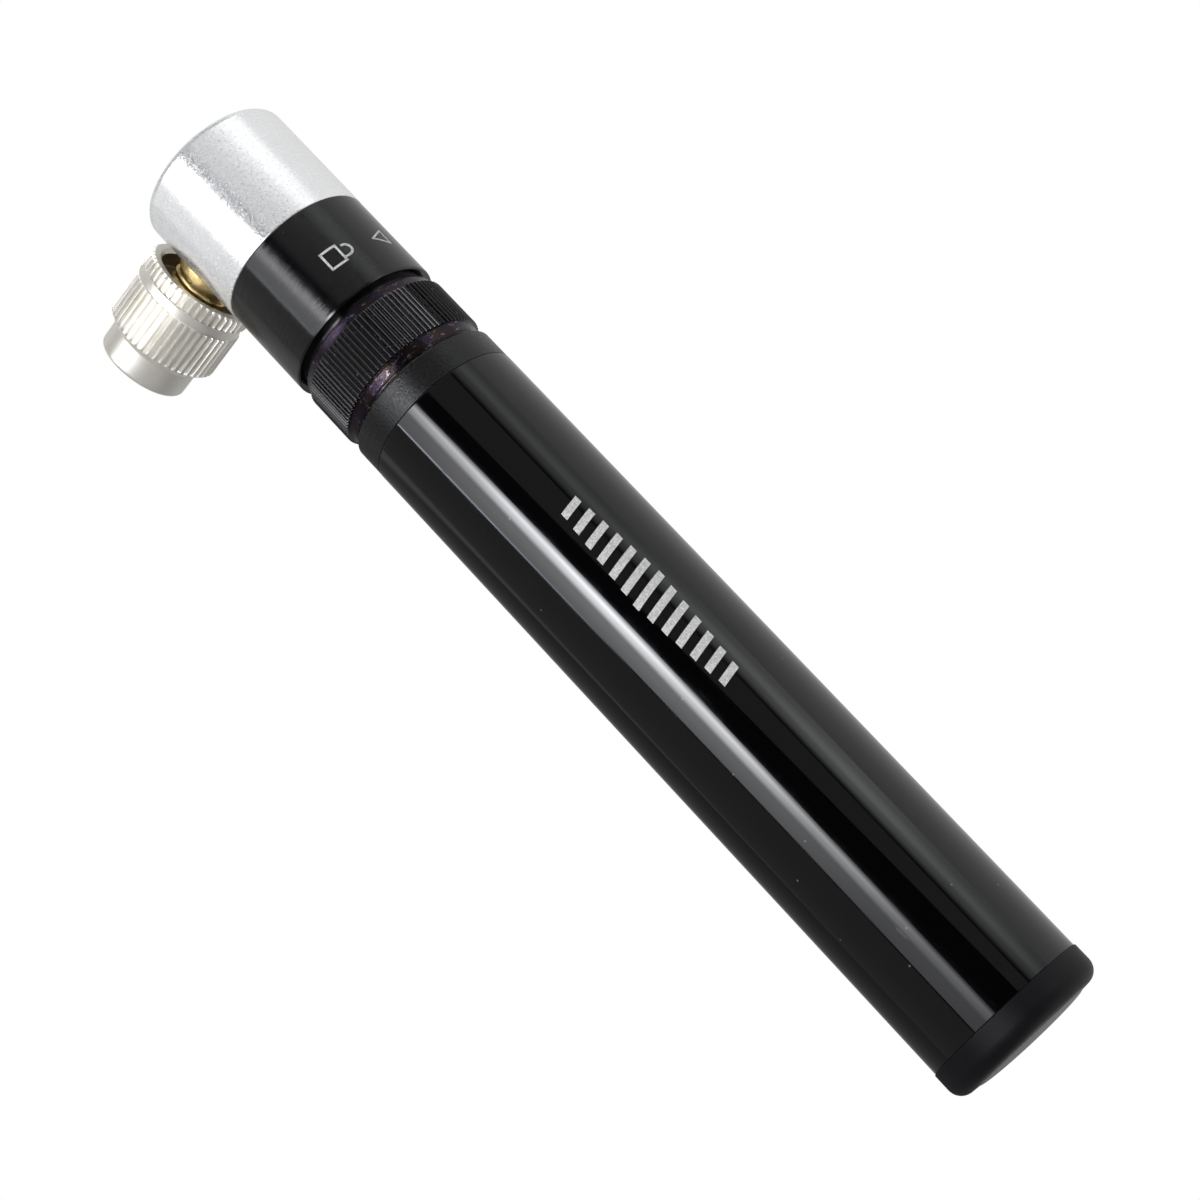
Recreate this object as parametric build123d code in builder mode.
"""Mini pump for bicycle tyres: a telescopic hand pump with a screw-on valve chuck at right angles to it.

Millimetres. The pump lies on its side: +X runs from the end cap towards the head, +Z is up, and the origin
is the centre of the cap's flat end face. The chuck points to +Y and leans down until its nut touches the
table.
"""

import os
from math import asin, atan2, cos, degrees, hypot, pi, sin

from build123d import *

# ---- driving dimensions --------------------------------------------------------------------------
pump_length = 145.9
barrel_r = 10.5  # the handle tube, the lock ring's ridges and the collar share this radius
head_r = 10.55
cap_r = 10.75  # the rubber cap stands proud of the barrel
barrel_bore_r = 9.6
cylinder_r = 8.6
cylinder_bore_r = 7.8
rod_r = 3.0
stroke = 73.0

# stations along the pump, from the end cap's face
barrel_start = 4.6
barrel_end = 100.65
bush_face = 104.6
ring_start, ring_end = 105.05, 115.35
knurl_start, knurl_end = 106.54, 113.74
collar_start = 115.75
head_start = 129.03
chuck_x = 137.9

# stations along the chuck, from the pump's axis
nut_top = 11.3
flange_knurl = (11.6, 13.2)
nut_knurl = (14.8, 20.8)
nut_cone_end = 22.0
nut_face = 25.7
stud_end = 17.4
pin_tip = 20.3

nut_r = 7.65  # over the chuck nut's ridges
stud_r = 4.0
valve_bore_r = 4.0  # passes the 7.7 mm thread of a car-type valve
ring_ridges = 94
nut_ridges = 48
knurl_depth = 0.3

running = 0.05  # radial clearance of a running fit
fixed = 0.02  # radial clearance between pieces that are bonded or screwed together
loose = 0.1  # radial clearance of pieces that only keep each other in place

# The chuck leans down until the end of the nut's knurl is level with the lowest line of the cap.
chuck_tilt = asin(cap_r / hypot(nut_knurl[1], nut_r)) - atan2(nut_r, nut_knurl[1])
chuck_dir = Vector(0, cos(chuck_tilt), -sin(chuck_tilt))
chuck_origin = Vector(chuck_x, 0, 0)

pump_section = Plane.XY  # X along the pump, Y the radius
chuck_up = Vector(0, sin(chuck_tilt), cos(chuck_tilt))
chuck_section = Plane(origin=chuck_origin, x_dir=chuck_dir, z_dir=chuck_up)
chuck_axis = Axis(chuck_origin, chuck_dir)

os.makedirs("parts", exist_ok=True)


def half_section(plane, *points):
    """Closed outline of a turned piece: (station, radius) points on the plane's X and Y."""
    with BuildSketch(plane) as section:
        with BuildLine():
            Polyline(*points, close=True)
        make_face()
    return section.sketch


def bar(plane, start, end, outer, inner=0.0):
    """Half section of a plain tube or rod."""
    return half_section(plane, (start, inner), (end, inner), (end, outer), (start, outer))


def knurl_cut(plane, crest_r, ridges):
    """Cross-section of what a straight knurl cuts away: all that lies outside a disc with a ridged rim."""
    pitch = 2 * pi / ridges
    half_crest = 0.15  # half of a crest's width, as a share of the pitch
    outline = []
    for ridge in range(ridges):
        for step, radius in ((-half_crest, crest_r), (half_crest, crest_r), (0.5, crest_r - knurl_depth)):
            angle = (ridge + step) * pitch
            outline.append((radius * cos(angle), radius * sin(angle)))
    with BuildSketch(plane) as waste:
        Circle(crest_r + 1)
        with BuildLine():
            Polyline(*outline, close=True)
        make_face(mode=Mode.SUBTRACT)
    return waste.sketch


def o_ring(plane, station, ring_r, cord_r):
    """Round section of an O-ring."""
    with BuildSketch(plane) as section:
        with Locations((station, ring_r)):
            Circle(cord_r)
    return section.sketch


def across(station):
    """Plane square to the pump's axis."""
    return Plane.YZ.offset(station)


def across_chuck(station):
    """Plane square to the chuck's axis."""
    return Plane(origin=chuck_origin + chuck_dir * station, x_dir=(1, 0, 0), z_dir=chuck_dir)


def write(piece, name):
    """Label a finished piece and write it to its own file."""
    piece.part.label = name
    export_step(piece.part, f"parts/{name}.step")


# ---- head: the end of the pump's fixed half ------------------------------------------------------
spigot_r = cylinder_bore_r - fixed
spigot_start = 114.0
seat_end = 118.5
seat_r = 3.8
valve_chamber_r = 2.8
chamber_end = 128.0
air_way_r = 1.3
head_groove = (121.0, 122.8)
head_groove_depth = 1.3
head_cord_r = 0.62
head_end_round = 0.9
stud_seat = 5.5

with BuildPart() as head:
    revolve(
        half_section(
            pump_section,
            (spigot_start, seat_r),
            (spigot_start, spigot_r),
            (head_groove[0], spigot_r),
            (head_groove[0], spigot_r - head_groove_depth),
            (head_groove[1], spigot_r - head_groove_depth),
            (head_groove[1], spigot_r),
            (head_start, spigot_r),
            (head_start, head_r),
            (pump_length, head_r),
            (pump_length, 0),
            (chamber_end, 0),
            (chamber_end, valve_chamber_r),
            (seat_end, valve_chamber_r),
            (seat_end, seat_r),
        ),
        axis=Axis.X,
    )
    fillet(head.faces().sort_by(Axis.X)[-1].edges(), head_end_round)
    with BuildSketch(across(chamber_end)):
        Circle(air_way_r)
    extrude(amount=chuck_x - chamber_end + air_way_r, mode=Mode.SUBTRACT)
    with BuildSketch(across_chuck(0)):
        Circle(air_way_r)
    extrude(amount=stud_seat, mode=Mode.SUBTRACT)
    with BuildSketch(across_chuck(stud_seat)):
        Circle(stud_r + fixed)
    extrude(amount=head_r, mode=Mode.SUBTRACT)
write(head, "head")

with BuildPart() as head_o_ring:
    revolve(o_ring(pump_section, sum(head_groove) / 2, spigot_r - head_cord_r, head_cord_r), axis=Axis.X)
write(head_o_ring, "head_o_ring")

# ---- collar, which carries the lock ring on its neck ---------------------------------------------
neck_r = 9.45
neck_start = 107.6
clip_slot = (110.5, 111.7)  # in the lock ring's bore
clip_seat = (110.6, 111.6)  # in the collar's neck
clip_seat_depth = 0.35
clip = (110.65, 111.55)
clip_stand_out = 0.3
clip_arc = 335
collar_bevel = 0.25
sleeve_bore_r = cylinder_r + fixed

with BuildPart() as collar:
    revolve(
        half_section(
            pump_section,
            (neck_start, sleeve_bore_r),
            (neck_start, neck_r),
            (clip_seat[0], neck_r),
            (clip_seat[0], neck_r - clip_seat_depth),
            (clip_seat[1], neck_r - clip_seat_depth),
            (clip_seat[1], neck_r),
            (collar_start, neck_r),
            (collar_start, barrel_r - collar_bevel),
            (collar_start + collar_bevel, barrel_r),
            (head_start, barrel_r),
            (head_start, sleeve_bore_r),
        ),
        axis=Axis.X,
    )
write(collar, "collar")

with BuildPart() as ring_clip:
    revolve(
        bar(pump_section, *clip, neck_r + clip_stand_out, neck_r - clip_seat_depth + fixed),
        axis=Axis.X,
        revolution_arc=clip_arc,
    )
write(ring_clip, "ring_clip")

# ---- inner cylinder, with the rod's guide in its open end ----------------------------------------
guide_face = 14.5
guide_flange_end = 17.5
guide_spigot_end = 24.0
guide_bore_r = rod_r + running
guide_holes = 4
guide_hole_r = 0.8
guide_hole_circle_r = 5.2
cylinder_end = 128.6
stop_ring_length = 1.2
stop_ring_r = 9.3

with BuildPart() as inner_cylinder:
    revolve(bar(pump_section, guide_flange_end, cylinder_end, cylinder_r, cylinder_bore_r), axis=Axis.X)
write(inner_cylinder, "inner_cylinder")

with BuildPart() as cylinder_guide:
    revolve(
        half_section(
            pump_section,
            (guide_face, guide_bore_r),
            (guide_face, barrel_bore_r - loose),
            (guide_flange_end, barrel_bore_r - loose),
            (guide_flange_end, cylinder_bore_r - fixed),
            (guide_spigot_end, cylinder_bore_r - fixed),
            (guide_spigot_end, guide_bore_r),
        ),
        axis=Axis.X,
    )
    with BuildSketch(across(guide_face)):
        with PolarLocations(guide_hole_circle_r, guide_holes):
            Circle(guide_hole_r)
    extrude(amount=guide_spigot_end - guide_face, mode=Mode.SUBTRACT)
write(cylinder_guide, "cylinder_guide")

stop_ring_end = guide_flange_end + stop_ring_length
with BuildPart() as stop_ring:
    revolve(bar(pump_section, guide_flange_end, stop_ring_end, stop_ring_r, sleeve_bore_r), axis=Axis.X)
write(stop_ring, "stop_ring")

# ---- chuck stud, screwed into the head -----------------------------------------------------------
stud_start = 6.5
stud_bore_r = 1.6
stud_groove = (10.9, 11.7)
stud_groove_depth = 0.4
stud_chamfer = 0.4
stud_cord_r = 0.49
stud_cord_ring_r = 2.6
pin_disc = (16.4, 17.2)
pin_r = 0.8
pin_notch_chord = 3.2
pin_notch_depth = 0.6

with BuildPart() as chuck_stud:
    revolve(
        half_section(
            chuck_section,
            (stud_start, stud_bore_r),
            (stud_start, stud_r),
            (stud_groove[0], stud_r),
            (stud_groove[0], stud_r - stud_groove_depth),
            (stud_groove[1], stud_r - stud_groove_depth),
            (stud_groove[1], stud_r),
            (stud_end - stud_chamfer, stud_r),
            (stud_end, stud_r - stud_chamfer),
            (stud_end, stud_bore_r),
        ),
        axis=chuck_axis,
    )
write(chuck_stud, "chuck_stud")

with BuildPart() as stud_o_ring:
    stud_cord_station = (stud_seat + stud_start) / 2
    revolve(o_ring(chuck_section, stud_cord_station, stud_cord_ring_r, stud_cord_r), axis=chuck_axis)
write(stud_o_ring, "stud_o_ring")

with BuildPart() as core_depressor:
    with BuildSketch(across_chuck(pin_disc[0])):
        Circle(stud_bore_r - fixed)
        with Locations((0, stud_bore_r), (0, -stud_bore_r)):
            Rectangle(pin_notch_chord, 2 * pin_notch_depth, mode=Mode.SUBTRACT)
    extrude(amount=pin_disc[1] - pin_disc[0])
    with BuildSketch(across_chuck(pin_disc[1])):
        Circle(pin_r)
    extrude(amount=pin_tip - pin_disc[1])
write(core_depressor, "core_depressor")

# ---- check valve between the cylinder and the head -----------------------------------------------
seat_start = 114.2
seat_bore_r = 1.2
seat_mouth_r = 2.0
seat_mouth_depth = 1.0
seat_slot_length = 5.4
seat_slot = 0.8  # width and depth of the screwdriver slot
poppet_seal_gap = 0.05
poppet_seal_r = 2.4
poppet_start = 119.15
poppet_r = 2.3
poppet_disc_end = 120.55
poppet_stem_r = 1.0
poppet_end = 124.15
spring_wire_r = 0.2
spring_coil_r = 1.9
spring_turns = 6

with BuildPart() as valve_seat:
    revolve(
        half_section(
            pump_section,
            (seat_start, seat_bore_r),
            (seat_start, seat_r - fixed),
            (seat_end, seat_r - fixed),
            (seat_end, seat_mouth_r),
            (seat_end - seat_mouth_depth, seat_bore_r),
        ),
        axis=Axis.X,
    )
    with BuildSketch(across(seat_start)):
        Rectangle(seat_slot_length, seat_slot)
    extrude(amount=seat_slot, mode=Mode.SUBTRACT)
write(valve_seat, "valve_seat")

with BuildPart() as poppet_seal:
    revolve(bar(pump_section, seat_end + poppet_seal_gap, poppet_start, poppet_seal_r), axis=Axis.X)
write(poppet_seal, "poppet_seal")

with BuildPart() as check_poppet:
    revolve(
        half_section(
            pump_section,
            (poppet_start, 0),
            (poppet_start, poppet_r),
            (poppet_disc_end, poppet_r),
            (poppet_disc_end, poppet_stem_r),
            (poppet_end, poppet_stem_r),
            (poppet_end, 0),
        ),
        axis=Axis.X,
    )
write(check_poppet, "check_poppet")

coil_start = poppet_disc_end + spring_wire_r
coil_length = chamber_end - spring_wire_r - coil_start
with BuildPart() as valve_spring:
    with BuildLine(mode=Mode.PRIVATE) as coil:
        Helix(
            coil_length / spring_turns,
            coil_length,
            spring_coil_r,
            center=(coil_start, 0, 0),
            direction=(1, 0, 0),
        )
    with BuildSketch(Plane(coil.line @ 0, z_dir=coil.line % 0)):
        Circle(spring_wire_r)
    sweep(path=coil.line, is_frenet=True)
write(valve_spring, "valve_spring")

# ---- lock ring and the collet that it clamps -----------------------------------------------------
ring_bevel_r = (9.75, 9.95)
ring_slot_r = 9.9
ring_lip = (106.2, 107.2)
ring_lip_r = 8.8
collet_r = 9.25
collet_tip = 102.1
collet_barb_end = 102.8
collet_barb_taper_end = 103.0
collet_barb = 0.1
collet_slots = 6
collet_slot_width = 0.8
collet_slot_end = 104.75
collet_slot_reach = 2.0

with BuildPart() as lock_ring:
    revolve(
        half_section(
            pump_section,
            (ring_start, collet_r + fixed),
            (ring_start, ring_bevel_r[0]),
            (knurl_start, barrel_r - knurl_depth),
            (knurl_start, barrel_r),
            (knurl_end, barrel_r),
            (knurl_end, barrel_r - knurl_depth),
            (ring_end, ring_bevel_r[1]),
            (ring_end, neck_r + running),
            (clip_slot[1], neck_r + running),
            (clip_slot[1], ring_slot_r),
            (clip_slot[0], ring_slot_r),
            (clip_slot[0], neck_r + running),
            (ring_lip[1], neck_r + running),
            (ring_lip[1], ring_lip_r),
            (ring_lip[0], ring_lip_r),
            (ring_lip[0], collet_r + fixed),
        ),
        axis=Axis.X,
    )
    ring_waste = knurl_cut(across(knurl_start), barrel_r, ring_ridges)
    extrude(ring_waste, amount=knurl_end - knurl_start, mode=Mode.SUBTRACT)
write(lock_ring, "lock_ring")

with BuildPart() as lock_collet:
    revolve(
        half_section(
            pump_section,
            (collet_tip, ring_lip_r),
            (collet_tip, collet_r + collet_barb),
            (collet_barb_end, collet_r + collet_barb),
            (collet_barb_taper_end, collet_r),
            (ring_lip[0], collet_r),
            (ring_lip[0], ring_lip_r),
        ),
        axis=Axis.X,
    )
    with BuildSketch(across(collet_tip)):
        with PolarLocations(collet_r, collet_slots):
            Rectangle(collet_slot_reach, collet_slot_width)
    extrude(amount=collet_slot_end - collet_tip, mode=Mode.SUBTRACT)
write(lock_collet, "lock_collet")

# ---- piston and rod: they slide with the handle, which turns round the rod's flange --------------
flange_start, flange_end = 5.2, 7.2
flange_r = 4.6
rod_end = 109.0
screw_hole_start = 101.0
piston_start, piston_end = 105.0, 113.0
piston_r = cylinder_bore_r - loose
piston_groove = (107.6, 109.6)
piston_groove_r = 6.2
piston_cord_r = 0.765
screw_start = 101.5
screw_seat = 111.4
screw_shank_r = 1.25
screw_head_r = 2.5
screw_cross = (3.4, 0.7)
screw_cross_depth = 0.9

with BuildPart() as piston_rod:
    revolve(
        half_section(
            pump_section,
            (flange_start, 0),
            (flange_start, flange_r),
            (flange_end, flange_r),
            (flange_end, rod_r),
            (rod_end, rod_r),
            (rod_end, screw_shank_r),
            (screw_hole_start, screw_shank_r),
            (screw_hole_start, 0),
        ),
        axis=Axis.X,
    )
write(piston_rod, "piston_rod")

with BuildPart() as piston_body:
    revolve(
        half_section(
            pump_section,
            (piston_start, rod_r + fixed),
            (piston_start, piston_r),
            (piston_groove[0], piston_r),
            (piston_groove[0], piston_groove_r),
            (piston_groove[1], piston_groove_r),
            (piston_groove[1], piston_r),
            (piston_end, piston_r),
            (piston_end, screw_head_r + fixed),
            (screw_seat, screw_head_r + fixed),
            (screw_seat, screw_shank_r + fixed),
            (rod_end, screw_shank_r + fixed),
            (rod_end, rod_r + fixed),
        ),
        axis=Axis.X,
    )
write(piston_body, "piston_body")

piston_cord_ring_r = cylinder_bore_r - running - piston_cord_r
with BuildPart() as piston_seal:
    revolve(o_ring(pump_section, sum(piston_groove) / 2, piston_cord_ring_r, piston_cord_r), axis=Axis.X)
write(piston_seal, "piston_seal")

with BuildPart() as piston_screw:
    revolve(
        half_section(
            pump_section,
            (screw_start, 0),
            (screw_start, screw_shank_r - fixed),
            (screw_seat, screw_shank_r - fixed),
            (screw_seat, screw_head_r),
            (piston_end, screw_head_r),
            (piston_end, 0),
        ),
        axis=Axis.X,
    )
    with BuildSketch(across(piston_end)):
        Rectangle(*screw_cross)
        Rectangle(*reversed(screw_cross))
    extrude(amount=-screw_cross_depth, mode=Mode.SUBTRACT)
write(piston_screw, "piston_screw")

# ---- handle: barrel, with the bush in its mouth --------------------------------------------------
bush_start = 92.0
bush_bore_r = cylinder_r + running
bush_bevel_start = 103.7
bush_bevel = 0.35
bush_groove = (101.7, 103.1)  # the collet's barb spreads in it
bush_groove_r = 9.75
bush_mouth_r = 9.5
wiper = (97.0, 99.0)
wiper_seat_r = 9.2
end_gap = 0.05

with BuildPart() as handle_barrel:
    revolve(bar(pump_section, barrel_start, barrel_end, barrel_r, barrel_bore_r), axis=Axis.X)
write(handle_barrel, "handle_barrel")

with BuildPart() as mouth_bush:
    revolve(
        half_section(
            pump_section,
            (bush_start, bush_bore_r),
            (bush_start, barrel_bore_r - fixed),
            (barrel_end, barrel_bore_r - fixed),
            (barrel_end, barrel_r),
            (bush_bevel_start, barrel_r),
            (bush_face, barrel_r - bush_bevel),
            (bush_face, bush_mouth_r),
            (bush_groove[1], bush_mouth_r),
            (bush_groove[1], bush_groove_r),
            (bush_groove[0], bush_groove_r),
            (bush_groove[0], bush_bore_r),
            (wiper[1], bush_bore_r),
            (wiper[1], wiper_seat_r),
            (wiper[0], wiper_seat_r),
            (wiper[0], bush_bore_r),
        ),
        axis=Axis.X,
    )
write(mouth_bush, "mouth_bush")

with BuildPart() as wiper_ring:
    revolve(
        bar(pump_section, wiper[0] + end_gap, wiper[1] - end_gap, wiper_seat_r - fixed, bush_bore_r),
        axis=Axis.X,
    )
write(wiper_ring, "wiper_ring")

# The guide's rubber ring meets the bush only after the whole stroke.
assert stop_ring_end + stroke < bush_start

# ---- handle: plug, swivel and cap ----------------------------------------------------------------
plug_end = 13.0
plug_neck_start = 1.8
plug_neck_r = 8.6
plug_bore_r = 5.0
washer_bore_r = 1.2
swivel_start, swivel_end = 7.35, 11.6
spanner_hole_r = 0.5
spanner_hole_circle_r = 4.0
spanner_hole_depth = 1.2
buffer_end = 14.2
buffer_r, buffer_bore_r = 8.8, 5.6
disc_r = 8.0
disc_recess = 0.7
disc_groove_r = (7.05, 7.3)
disc_groove_depth = 0.15
cap_wall = 1.6
cap_round = 1.6

with BuildPart() as end_plug:
    revolve(
        half_section(
            pump_section,
            (plug_neck_start, 0),
            (plug_neck_start, plug_neck_r - fixed),
            (barrel_start, plug_neck_r - fixed),
            (barrel_start, barrel_bore_r - fixed),
            (plug_end, barrel_bore_r - fixed),
            (plug_end, plug_bore_r),
            (barrel_start, plug_bore_r),
            (barrel_start, 0),
        ),
        axis=Axis.X,
    )
write(end_plug, "end_plug")

with BuildPart() as thrust_washer:
    revolve(
        bar(pump_section, barrel_start, flange_start - loose, plug_bore_r - loose, washer_bore_r),
        axis=Axis.X,
    )
write(thrust_washer, "thrust_washer")

with BuildPart() as swivel_nut:
    revolve(bar(pump_section, swivel_start, swivel_end, plug_bore_r - fixed, rod_r + running), axis=Axis.X)
    with BuildSketch(across(swivel_end)):
        with PolarLocations(spanner_hole_circle_r, 2):
            Circle(spanner_hole_r)
    extrude(amount=-spanner_hole_depth, mode=Mode.SUBTRACT)
write(swivel_nut, "swivel_nut")

with BuildPart() as closing_buffer:
    revolve(bar(pump_section, plug_end, buffer_end, buffer_r, buffer_bore_r), axis=Axis.X)
write(closing_buffer, "closing_buffer")

with BuildPart() as end_cap:
    revolve(
        half_section(
            pump_section,
            (disc_recess, 0),
            (disc_recess, disc_r),
            (0, disc_r),
            (0, cap_r),
            (barrel_start, cap_r),
            (barrel_start, plug_neck_r),
            (cap_wall, plug_neck_r),
            (cap_wall, 0),
        ),
        axis=Axis.X,
    )
    fillet(end_cap.edges().group_by(Axis.X)[0].sort_by(SortBy.RADIUS)[-1], cap_round)
write(end_cap, "end_cap")

with BuildPart() as cap_disc:
    revolve(bar(pump_section, 0.0, disc_recess, disc_r - fixed), axis=Axis.X)
    with BuildSketch(across(0)):
        Circle(disc_groove_r[1])
        Circle(disc_groove_r[0], mode=Mode.SUBTRACT)
    extrude(amount=disc_groove_depth, mode=Mode.SUBTRACT)
write(cap_disc, "cap_disc")

# ---- chuck nut, with the washer and seal that it squeezes ----------------------------------------
chamber_r = 5.0
nut_thread = (13.9, 17.9)
nut_lip = 24.2
nut_rim_bore_r = 6.4
nut_rim_bevel = 0.3
nut_waist_r = 7.25
nut_end_r = 6.05
nut_end_round = 0.3
washer_start, washer_end = 18.1, 18.8
chuck_washer_bore_r = 2.2
seal_bore_r = 2.4
seal_end = 24.15

with BuildPart() as chuck_nut:
    revolve(
        half_section(
            chuck_section,
            (nut_top, nut_rim_bore_r),
            (nut_top, nut_r - nut_rim_bevel),
            (flange_knurl[0], nut_r),
            (flange_knurl[1], nut_r),
            (flange_knurl[1], nut_waist_r),
            (nut_knurl[0], nut_waist_r),
            (nut_knurl[0], nut_r),
            (nut_knurl[1], nut_r),
            (nut_cone_end, nut_end_r),
            (nut_face, nut_end_r),
            (nut_face, valve_bore_r),
            (nut_lip, valve_bore_r),
            (nut_lip, chamber_r),
            (nut_thread[1], chamber_r),
            (nut_thread[1], stud_r + running),
            (nut_thread[0], stud_r + running),
            (nut_thread[0], nut_rim_bore_r),
        ),
        axis=chuck_axis,
    )
    face_rims = chuck_nut.edges().filter_by(GeomType.CIRCLE).sort_by(chuck_axis)[-2:]
    fillet(face_rims.sort_by(SortBy.RADIUS)[-1], nut_end_round)
    for start, end in ((nut_top, flange_knurl[1]), nut_knurl):
        nut_waste = knurl_cut(across_chuck(start), nut_r, nut_ridges)
        extrude(nut_waste, amount=end - start, mode=Mode.SUBTRACT)
write(chuck_nut, "chuck_nut")

with BuildPart() as chuck_washer:
    revolve(
        bar(chuck_section, washer_start, washer_end, chamber_r - running, chuck_washer_bore_r),
        axis=chuck_axis,
    )
write(chuck_washer, "chuck_washer")

with BuildPart() as chuck_seal:
    revolve(
        half_section(
            chuck_section,
            (washer_end, seal_bore_r),
            (washer_end, chamber_r - running),
            (seal_end, chamber_r - running),
            (seal_end, valve_bore_r),
            (pin_tip, valve_bore_r),
            (pin_tip, seal_bore_r),
        ),
        axis=chuck_axis,
    )
write(chuck_seal, "chuck_seal")

print(f"chuck tilt {degrees(chuck_tilt):.3f} degrees, direction {tuple(round(v, 6) for v in chuck_dir)}")
